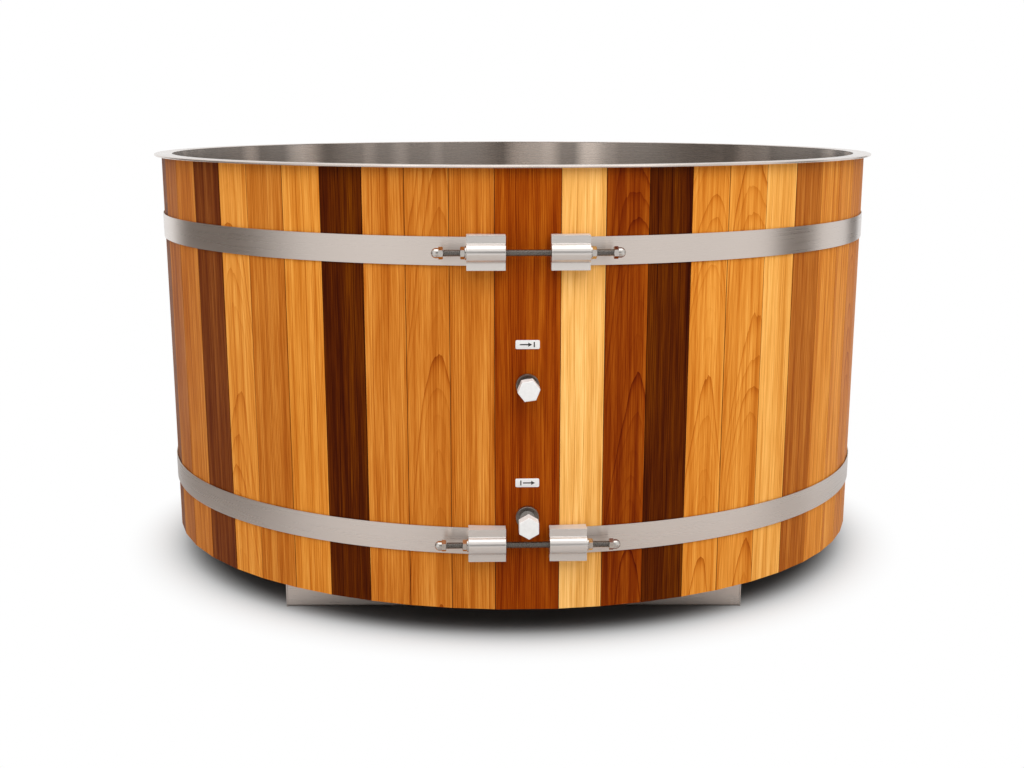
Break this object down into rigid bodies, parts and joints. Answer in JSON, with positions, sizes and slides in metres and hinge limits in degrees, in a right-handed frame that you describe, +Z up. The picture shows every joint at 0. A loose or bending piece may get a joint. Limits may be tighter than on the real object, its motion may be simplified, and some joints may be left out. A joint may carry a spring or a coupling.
{
  "type": "cold plunge tub",
  "caption": "Round wood-clad steel tub for cold water bathing, held by clamped steel hoops, with capped water ports on the front and a low steel plinth.",
  "frame": {"origin": "on the ground, on the axis of the tub", "axes": "+Z up along the axis of the tub; -Y out through the front, where the ports are; +X to the right of someone who faces the ports"},
  "size_m": [1.557, 1.6188, 0.8633],
  "materials": {
    "cedar": "oiled, satin",
    "basin_steel": "brushed",
    "hoop_steel": "brushed",
    "plinth_steel": "brushed",
    "lug_aluminium": "mill",
    "fitting_steel": "satin",
    "fastener_steel": "bright",
    "gasket_rubber": "matte",
    "label_plastic": "satin"
  },
  "bodies": {
    "tub": {"acorn_nuts": "fastener_steel", "basin_floor": "basin_steel", "basin_wall": "basin_steel", "label_plates": "label_plastic", "lower_hoop": "hoop_steel", "lower_lugs": "lug_aluminium", "lower_rod": "fastener_steel", "plinth_bearer_1": "plinth_steel", "plinth_bearer_2": "plinth_steel", "plinth_bearer_3": "plinth_steel", "plinth_front_panel": "plinth_steel", "plinth_left_plate": "plinth_steel", "plinth_rear_panel": "plinth_steel", "plinth_right_plate": "plinth_steel", "port_collars": "fitting_steel", "port_nipples": "fitting_steel", "port_stave": "cedar", "rim_flange": "basin_steel", "staves_01": "cedar", "staves_02": "cedar", "staves_03": "cedar", "staves_04": "cedar", "staves_05": "cedar", "staves_06": "cedar", "staves_07": "cedar", "staves_08": "cedar", "staves_09": "cedar", "staves_10": "cedar", "staves_11": "cedar", "staves_12": "cedar", "staves_13": "cedar", "staves_14": "cedar", "upper_hoop": "hoop_steel", "upper_lugs": "lug_aluminium", "upper_rod": "fastener_steel"},
    "upper_left_nut": {"upper_left_nut": "fastener_steel"},
    "upper_right_nut": {"upper_right_nut": "fastener_steel"},
    "lower_left_nut": {"lower_left_nut": "fastener_steel"},
    "lower_right_nut": {"lower_right_nut": "fastener_steel"},
    "inlet_gasket": {"inlet_gasket": "gasket_rubber"},
    "outlet_gasket": {"outlet_gasket": "gasket_rubber"},
    "inlet_cap": {"inlet_cap": "fitting_steel"},
    "outlet_cap": {"outlet_cap": "fitting_steel"}
  },
  "joints": [
    {"name": "upper_left_nut_turn", "type": "hinge", "parent": "tub", "child": "upper_left_nut", "pos_m": [-0.1128, -0.78607, 0.716], "axis": [-1, 0, 0], "continuous": true},
    {"name": "upper_right_nut_turn", "type": "hinge", "parent": "tub", "child": "upper_right_nut", "pos_m": [0.1128, -0.78607, 0.716], "axis": [1, 0, 0], "continuous": true},
    {"name": "lower_left_nut_turn", "type": "hinge", "parent": "tub", "child": "lower_left_nut", "pos_m": [-0.1128, -0.78607, 0.189], "axis": [-1, 0, 0], "continuous": true},
    {"name": "lower_right_nut_turn", "type": "hinge", "parent": "tub", "child": "lower_right_nut", "pos_m": [0.1128, -0.78607, 0.189], "axis": [1, 0, 0], "continuous": true},
    {"name": "inlet_cap_travel", "type": "slide", "parent": "tub", "child": "inlet_gasket", "axis": [0, -1, 0], "range_m": [0, 0.0164]},
    {"name": "inlet_cap_turn", "type": "hinge", "parent": "inlet_gasket", "child": "inlet_cap", "pos_m": [0, -0.8093, 0.479], "axis": [0, -1, 0], "range_deg": [0, 3240]},
    {"name": "outlet_cap_travel", "type": "slide", "parent": "tub", "child": "outlet_gasket", "axis": [0, -1, 0], "range_m": [0, 0.0164]},
    {"name": "outlet_cap_turn", "type": "hinge", "parent": "outlet_gasket", "child": "outlet_cap", "pos_m": [0, -0.8273, 0.235], "axis": [0, -1, 0], "range_deg": [0, 3240]}
  ],
  "couplings": [
    {"joint": "inlet_cap_travel", "follows": "inlet_cap_turn", "m_per_rad": 0.00028875},
    {"joint": "outlet_cap_travel", "follows": "outlet_cap_turn", "m_per_rad": 0.00028875}
  ]
}
